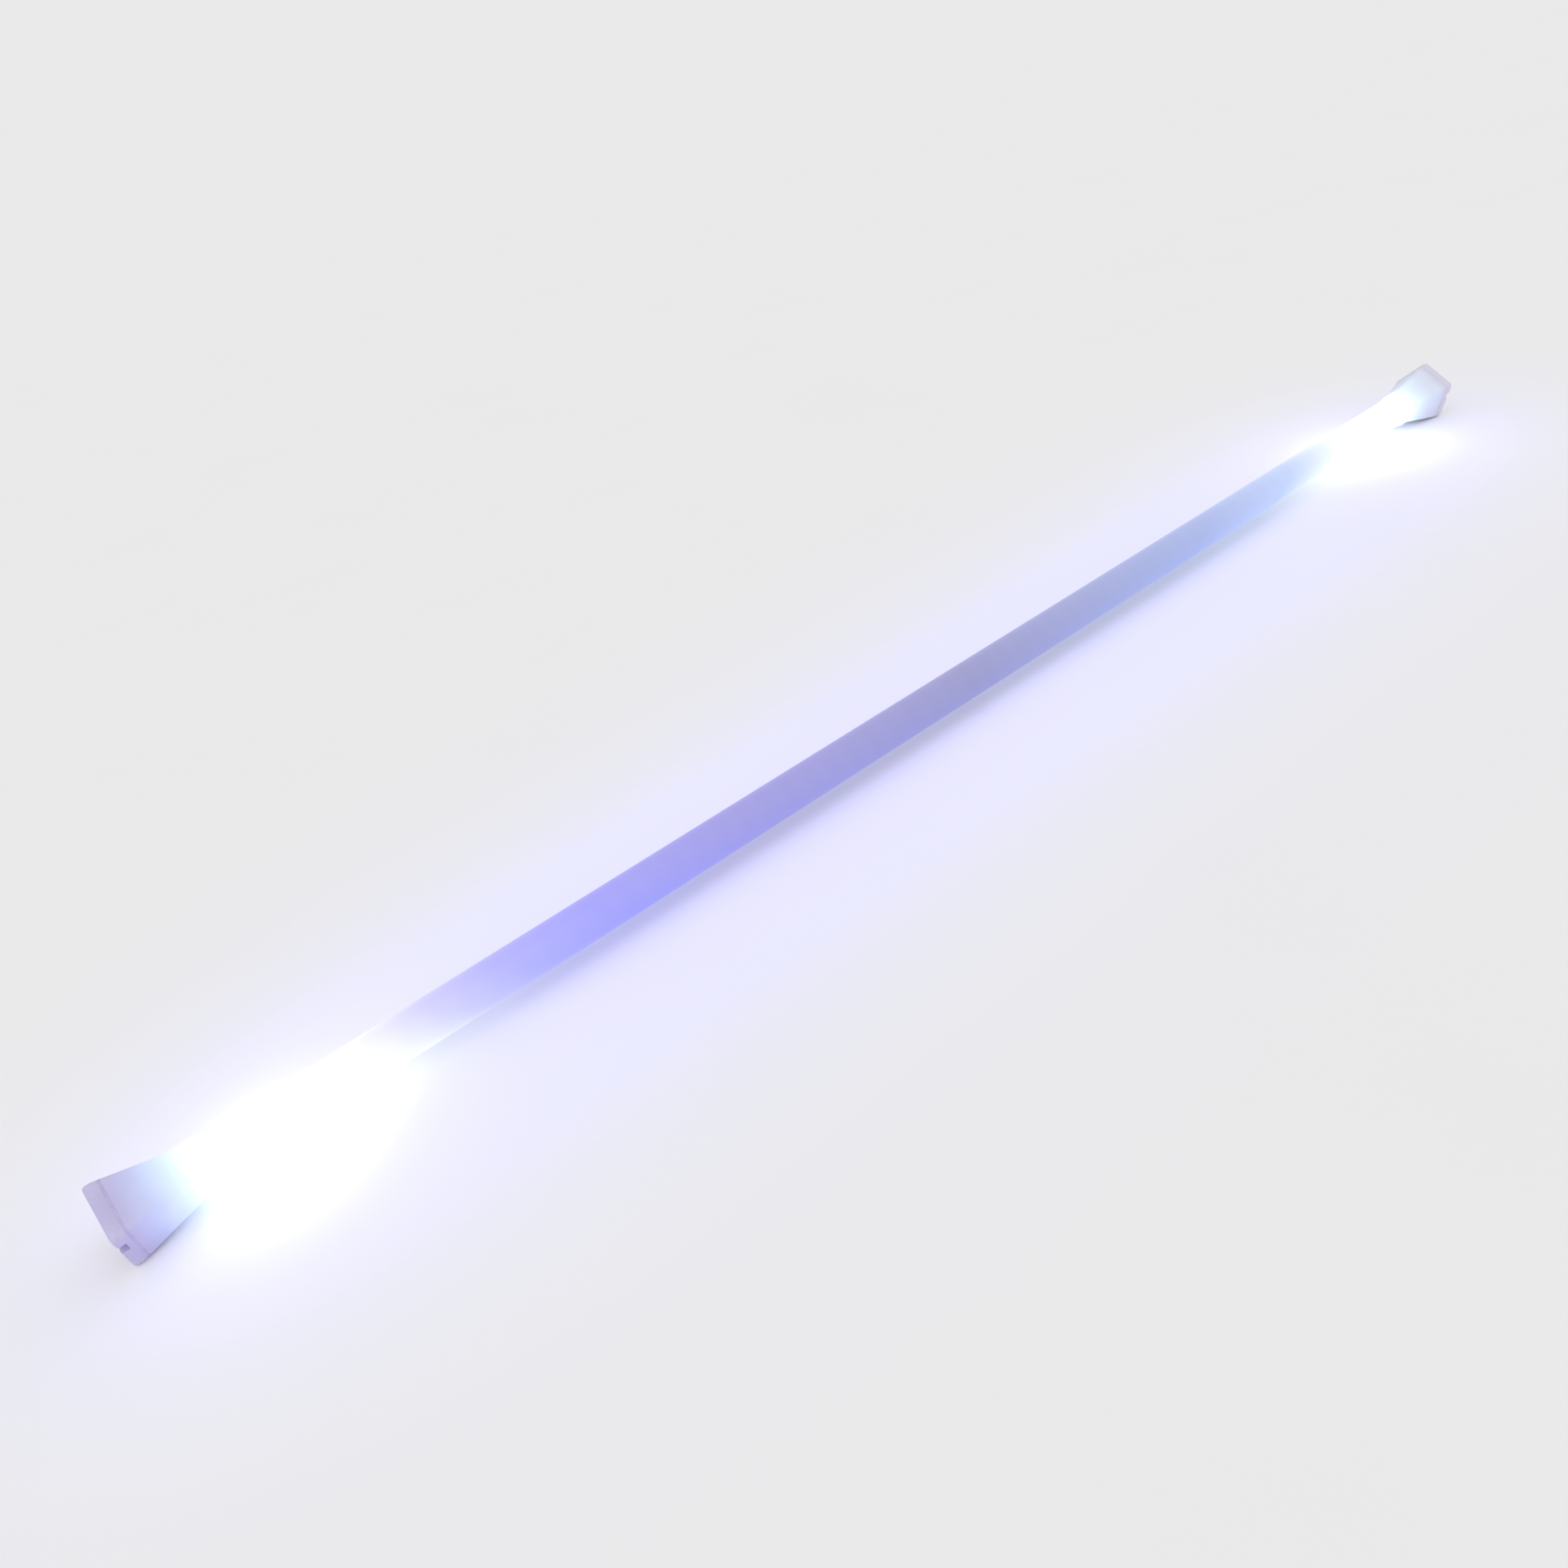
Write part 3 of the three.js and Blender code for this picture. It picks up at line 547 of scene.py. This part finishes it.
def cut(bm, tools, edge=0.25, join=False):
    """Cuts tools out of a shape, or joins them to it, and rounds the edges that this leaves."""
    obj = mesh_object(bm)
    helpers = [mesh_object(tool, "tool") for tool in tools]
    for helper in helpers:
        boolean = obj.modifiers.new("cut", "BOOLEAN")
        boolean.operation = "UNION" if join else "DIFFERENCE"
        boolean.solver = "EXACT"
        boolean.object = helper
    weld = obj.modifiers.new("weld", "WELD")
    weld.merge_threshold = SHORTEST_CUT_EDGE
    if edge:
        bevel = obj.modifiers.new("edge", "BEVEL")
        bevel.width = edge
        bevel.segments = 3
        bevel.limit_method = "ANGLE"
        bevel.angle_limit = SHARP_CUT
        bevel.use_clamp_overlap = True
    apply_modifiers(obj)
    result = bmesh.new()
    result.from_mesh(obj.data)
    for spent in [obj, *helpers]:
        bpy.data.objects.remove(spent)
    return without_slivers(result, SHORTEST_ROUNDED_EDGE)


def piece(name, bm, place, body, slot, *replaced, material_key=None):
    """Puts a finished shape on its body, in place of the CAD nodes named.

    It has its slot's material, unless another material key is given: the far end's paler copies, which are
    painted light.
    """
    bmesh.ops.transform(bm, matrix=place, verts=bm.verts)
    if place.determinant() < 0:
        bmesh.ops.reverse_faces(bm, faces=bm.faces)
    for face in bm.faces:
        face.smooth = True
    obj = mesh_object(bm, name)
    obj.data.name = name
    obj.data.materials.append(MATERIALS[material_key or slot])
    obj.data.set_sharp_from_angle(angle=SHARP_EDGE)
    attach(obj, body)
    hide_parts(*replaced)


# ---------- The diffuser ----------


def diffuser():
    """A plain tube with its ends' edges rounded."""
    wall_inside = TUBE_RADIUS - TUBE_WALL
    profile = filleted([(-TUBE_HALF, wall_inside, 0.3), (-TUBE_HALF, TUBE_RADIUS, 0.5),
                        (TUBE_HALF, TUBE_RADIUS, 0.5), (TUBE_HALF, wall_inside, 0.3)])
    piece("diffuser", turned(profile, segments=128), LAMP, "lamp", "diffuser", "diffuser_tube")


# ---------- The end caps ----------

PAST = 1                                      # how far a cutting tool starts or ends past a surface


def notch_tools():
    """Two short notches in the rim, with rounded corners at their floor."""
    tools = []
    outside = FLAT_RADIUS + 2 * PAST
    for degrees in NOTCH_ANGLES:
        outline = filleted([(-NOTCH_ROOT, NOTCH_FLOOR, 1.2), (NOTCH_ROOT, NOTCH_FLOOR, 1.2),
                            (NOTCH_MOUTH, outside, 0.1), (-NOTCH_MOUTH, outside, 0.1)], steps=6)
        tools.append(moved(pushed(outline, -2 * PAST, LAND_END), turn=math.radians(degrees - 90)))
    return tools


def screw_holes(radius, start, end):
    """Tools for a hole near each corner, from one depth to another."""
    return [bar(radius, start, end, *on_circle(SCREW_CIRCLE, degrees), segments=32)
            for degrees in CORNER_DEGREES]


def flare_radius(depth):
    """From the axis to a flat, at a depth past the land."""
    return FLAT_RADIUS - FLARE_SLOPE * (depth - LAND_END)


def cap_shell():
    """Flat facets close in from the five-sided rim until each meets the round collar."""

    def profile(outline):
        flare_end = LAND_END + (FLAT_RADIUS - COLLAR_RADIUS / outline) / FLARE_SLOPE
        return filleted([
            (SHELL_START, flare_radius(SHELL_START) * outline, 0.12),
            (flare_end, COLLAR_RADIUS, 1.5),
            (CAP_LENGTH, COLLAR_RADIUS, 0.5),
            (CAP_LENGTH, SOCKET_RADIUS, 0.3),
            (SHELL_START, SOCKET_RADIUS, 0.1),
        ])

    holes = screw_holes(SCREW_HOLE_RADIUS, SHELL_START - PAST, SCREW_HOLE_DEPTH)
    return cut(five_sided_ring(profile), holes)


def end_cover(openings):
    """The flat end, hollow from behind, with a well in its face and a boss for the insert in the middle."""
    face = RECESS_DEPTH + 2.6
    inside = 14.4
    bore = INSERT_RADIUS + CLEARANCE

    def profile(outline):
        return filleted([
            (0, bore, 0.1),
            (0, BOSS_RADIUS, 0.3),
            (RECESS_DEPTH, BOSS_RADIUS + 0.2, 0.3),
            (RECESS_DEPTH, RECESS_RADIUS - 0.5, 0.35),
            (0, RECESS_RADIUS, 0.35),
            (0, FLAT_RADIUS * outline, 1.6),
            (LAND_END, FLAT_RADIUS * outline, 2.0),
            (COVER_DEPTH, flare_radius(COVER_DEPTH) * outline, 0.12),
            (COVER_DEPTH, inside, 0.1),
            (face, inside, 0.1),
            (face, BOSS_RADIUS, 0.1),
            (COVER_DEPTH, BOSS_RADIUS, 0.1),
            (COVER_DEPTH, bore, 0.1),
        ])

    holes = screw_holes(SCREW_HOLE_RADIUS, -PAST, COVER_DEPTH + PAST)
    counterbores = screw_holes(COUNTERBORE_RADIUS, -PAST, COUNTERBORE_DEPTH)
    return cut(five_sided_ring(profile), notch_tools() + holes + counterbores + openings)


def cover_gasket():
    """The gasket fills the seam between the cover and the flare, just under their surface."""
    start, end, inset, inside = COVER_DEPTH, SHELL_START, 0.06, 14.8

    def profile(outline):
        return filleted([
            (start, inside, 0.1),
            (start, (flare_radius(start) - inset) * outline, 0.05),
            (end, (flare_radius(end) - inset) * outline, 0.05),
            (end, inside, 0.1),
        ])

    return cut(five_sided_ring(profile), screw_holes(SCREW_HOLE_RADIUS, start - PAST, end + PAST), edge=0)


def control_openings():
    """Tools for the holes round the buttons, the light pipes and the charging port."""
    through = (-PAST, 6)
    tools = [bar(BUTTON_RADIUS + CLEARANCE, *through, *on_circle(BUTTON_CIRCLE, degrees))
             for degrees in BUTTON_ANGLES.values()]
    tools += [bar(LIGHT_PIPE_HOLE, *through, *on_circle(LIGHT_PIPE_CIRCLE, degrees), segments=32)
              for degrees in LIGHT_PIPE_ANGLES.values()]
    port = rounded_box(PORT_HALF_WIDTH, PORT_Z - PORT_HALF_HEIGHT, PORT_Z + PORT_HALF_HEIGHT, PORT_CORNER, 8)
    return tools + [pushed(port, *through)]


def thread_insert(segments=48, rows=60):
    """Brass insert with a quarter inch thread: the bore's radius follows a helix."""
    pitch, bore, groove = 1.27, 2.9, 0.55
    start, end, chamfer = 0.2, 7, 0.2
    thread_start, thread_end = 0.3, 6.9
    outside = [(start, bore + 0.5), (start, INSERT_RADIUS - chamfer), (start + chamfer, INSERT_RADIUS),
               (end - chamfer, INSERT_RADIUS), (end, INSERT_RADIUS - chamfer), (end, bore + 0.1)]
    rings = []
    for i in range(segments):
        turn = i / segments
        thread = []
        for row in range(rows + 1):
            d = thread_end - (thread_end - thread_start) * row / rows
            cut_in = abs(((d / pitch + turn) % 1) - 0.5) * 2
            run_out = min(1, (thread_end - d) * 2, (d - thread_start) * 2)
            thread.append((d, bore + groove * cut_in * run_out))
        angle = 2 * math.pi * turn
        rings.append([(d, r * math.sin(angle), r * math.cos(angle)) for d, r in outside + thread])
    return skin(rings)


def cover_screw():
    """A socket head screw, its head sunk just under the face."""
    top, head_end, tip = 0.25, 1.9, 13.5
    head, shank, socket = 2.5, 1.4, 1.2
    profile = [(top, 0), (top, socket), *rounded_rim(top, head, 0.4), (head_end, head), (head_end, shank),
               (tip - 0.8, shank), (tip, 0.5), (tip, 0)]
    return cut(turned(profile, segments=40), [bar(socket, -PAST, 1.4, segments=6)], edge=0.08)


def symbol_bars(kind):
    """Raised marks on a button: a plus, a minus or a dot."""
    top, bottom = 0.3, 0.8
    if kind == "power":
        return [bar(0.7, top, bottom, segments=32)]
    long_bar = rounded_box(1.1, -0.22, 0.22, 0.2)
    bars = [pushed(long_bar, top, bottom)]
    if kind == "brighter":
        bars.append(pushed([(-z, y) for y, z in long_bar], top, bottom))
    return bars


def push_button(kind):
    """A dished top, a flange that holds it in, and the stem down to its switch."""
    top, dish_radius, dish_depth = 0.4, 2.1, 0.2
    flange_start, flange_end, flange = 4.1, 4.9, 3.7
    stem, stem_end = 1.4, 11.4
    dish = [(top + dish_depth * (1 - (i / 3) ** 2), dish_radius * i / 3) for i in range(4)]
    profile = [*dish, *rounded_rim(top, BUTTON_RADIUS, 0.4, 5), (flange_start, BUTTON_RADIUS),
               (flange_start, flange), (flange_end, flange), (flange_end, stem), (stem_end, stem),
               (stem_end, 0)]
    return cut(turned(profile), symbol_bars(kind), edge=0.06, join=True)


def light_pipe():
    """A clear rod with a rounded tip."""
    tip, end, radius = 0.7, 14.5, 1.1
    return turned([(tip, 0), *rounded_rim(tip, radius, 0.3), (end, radius), (end, 0)], segments=32)


def port_flap():
    """A soft flap with a knuckle along its hinge and a finger lip near its free edge."""
    free_edge, half_width = -7.8, 5.5
    half_knuckle, knuckle_radius, rounding = 4.5, 0.37, 0.15
    plate = pushed(rounded_box(half_width, FLAP_HINGE_Z, free_edge, 0.9, 6), 0.15, 0.9)
    straight, tip = half_knuckle - rounding, knuckle_radius - rounding
    knuckle = turned([(-half_knuckle, 0), *arc((-straight, tip), rounding, 180, 90, 3),
                      *arc((straight, tip), rounding, 90, 0, 3), (half_knuckle, 0)], segments=24)
    place = Matrix.Translation((FLAP_HINGE_DEPTH, 0, FLAP_HINGE_Z)) @ Matrix.Rotation(math.pi / 2, 4, "Z")
    bmesh.ops.transform(knuckle, matrix=place, verts=knuckle.verts)
    lip = pushed(rounded_box(2, free_edge - 1.2, free_edge - 0.4, 0.3), 0.03, 0.4)
    return cut(plate, [knuckle, lip], edge=0.1, join=True)


def controls(place):
    """The buttons, indicators and flap on the control end's face."""
    for kind, degrees in BUTTON_ANGLES.items():
        body = f"{kind}_button"
        piece(f"{kind}_button_cap", moved(push_button(kind), *on_circle(BUTTON_CIRCLE, degrees)), place, body,
              "button_plastic", body)
    for kind, degrees in LIGHT_PIPE_ANGLES.items():
        piece(f"{kind}_indicator", moved(light_pipe(), *on_circle(LIGHT_PIPE_CIRCLE, degrees)), place,
              "lamp", "clear_plastic", f"{kind}_light_pipe")
    piece("charging_flap", port_flap(), place, "port_flap", "flap_rubber", "port_flap")


def end_cap(end):
    """Everything that both ends have. The far one has no control openings; its paler colours are painted
    light.
    """
    place, body = END_PLACES[end], END_BODIES[end]
    openings = control_openings() if end == "near" else []
    # The far end takes paler material copies: painted light on that end.
    shade = "_far" if end == "far" else ""
    piece(f"flared_cap_{end}", cap_shell(), place, body, "cap_shell", f"cap_shell_{end}",
          material_key=f"cap_shell{shade}")
    piece(f"cap_end_{end}", end_cover(openings), place, body, "end_cover", f"end_cover_{end}",
          material_key=f"end_cover{shade}")
    piece(f"gasket_{end}", cover_gasket(), place, body, "dark_rubber", f"cover_gasket_{end}",
          material_key=f"dark_rubber{shade}")
    piece(f"tripod_insert_{end}", thread_insert(), place, body, "brass", f"thread_insert_{end}")
    for i, degrees in enumerate(CORNER_DEGREES, start=1):
        piece(f"socket_screw_{end}_{i}", moved(cover_screw(), *on_circle(SCREW_CIRCLE, degrees)), place, body,
              "screw_steel", f"cover_screw_{end}_{i}")


diffuser()
for end in ENDS:
    end_cap(end)
controls(END_PLACES["near"])

# ---------- Floor, light and camera, in metres ----------

STUDIO_LEVEL = 0.82                           # how bright the floor and what is round it are
FLOOR_WHITE = 0.88
FLOOR_HALF_SIZE = 150
KEY_SLANT, KEY_TURN, KEY_SPREAD = 40, -40, 70             # degrees
POOL_PLACES = {"near": -0.53, "far": 0.51}    # along the lamp
CAMERA_PLACE = (-0.5, -0.574, 0.438)
CAMERA_TURN = (57.53, 12.76, -38.34)          # degrees about x, y and z
CAMERA_LENS, CAMERA_SENSOR = 27.95, 36        # millimetres


def floor():
    """A wide, pale floor, as bright as the studio round it, so that no horizon shows."""
    bm = bmesh.new()
    bmesh.ops.create_grid(bm, x_segments=1, y_segments=1, size=FLOOR_HALF_SIZE)
    obj = mesh_object(bm, "floor")
    shader = Shader("pale_floor", Specular_IOR_Level=0.0)
    shader.grain((FLOOR_WHITE,) * 3, 0.8, scale=60, depth=0.0001, amount=0.004)
    obj.data.materials.append(shader.material)


def add_light(kind, name, location, **settings):
    """A light that the camera doesn't see. It points down unless it is turned."""
    light = bpy.data.lights.new(name, kind)
    for setting, value in settings.items():
        setattr(light, setting, value)
    obj = bpy.data.objects.new(name, light)
    obj.location = location
    obj.visible_camera = False
    bpy.context.scene.collection.objects.link(obj)
    return obj


def studio_light():
    """An even white studio with one very soft light from above."""
    world = bpy.data.worlds.new("studio")
    world.use_nodes = True
    background = world.node_tree.nodes["Background"]
    background.inputs["Color"].default_value = (*WHITE, 1)
    background.inputs["Strength"].default_value = STUDIO_LEVEL
    bpy.context.scene.world = world
    highlight_slant = math.radians(KEY_SLANT)
    energy = math.pi * (STUDIO_LEVEL / FLOOR_WHITE - STUDIO_LEVEL) / math.cos(highlight_slant)
    key = add_light("SUN", "soft_key", (-1, -1, 2), energy=energy, angle=math.radians(KEY_SPREAD))
    key.rotation_euler = (highlight_slant, 0, math.radians(KEY_TURN))


def spilled_light():
    """The glow that the lamp spreads over the floor: violet along it, with a white pool near each end.

    These lights light the floor alone, and the lamp casts no shadow from them.
    """
    floor_only = bpy.data.collections.new("lit_by_spill")
    floor_only.objects.link(bpy.data.objects["floor"])
    length = 2 * END_X * MM
    spill = [
        add_light("AREA", "violet_spill", (0, 0, 0.11), shape="RECTANGLE", size=length, size_y=0.1,
                  energy=0.4, color=(0.1, 0.08, 1.0)),
        add_light("AREA", "violet_under_tube", (0.03, -0.002, 0.013), shape="RECTANGLE",
                  size=0.675 * length, size_y=0.01, energy=0.065, color=(0.5, 0.49, 0.75)),
    ]
    for end, x in POOL_PLACES.items():
        spill.append(add_light("AREA", f"white_pool_{end}", (x, 0, 0.04), shape="DISK", size=0.06,
                               energy=0.014))
    for light in spill:
        light.light_linking.receiver_collection = floor_only
        light.light_linking.blocker_collection = floor_only


def camera():
    """The camera as it stood for the photo, worked out from how the tube's edges converge."""
    data = bpy.data.cameras.new("camera")
    data.lens = CAMERA_LENS
    data.sensor_width = CAMERA_SENSOR
    data.clip_start = 0.02
    obj = bpy.data.objects.new("camera", data)
    obj.location = CAMERA_PLACE
    obj.rotation_euler = [math.radians(angle) for angle in CAMERA_TURN]
    bpy.context.scene.collection.objects.link(obj)
    bpy.context.scene.camera = obj


floor()
studio_light()
spilled_light()
camera()
bpy.context.scene.view_settings.view_transform = "Standard"
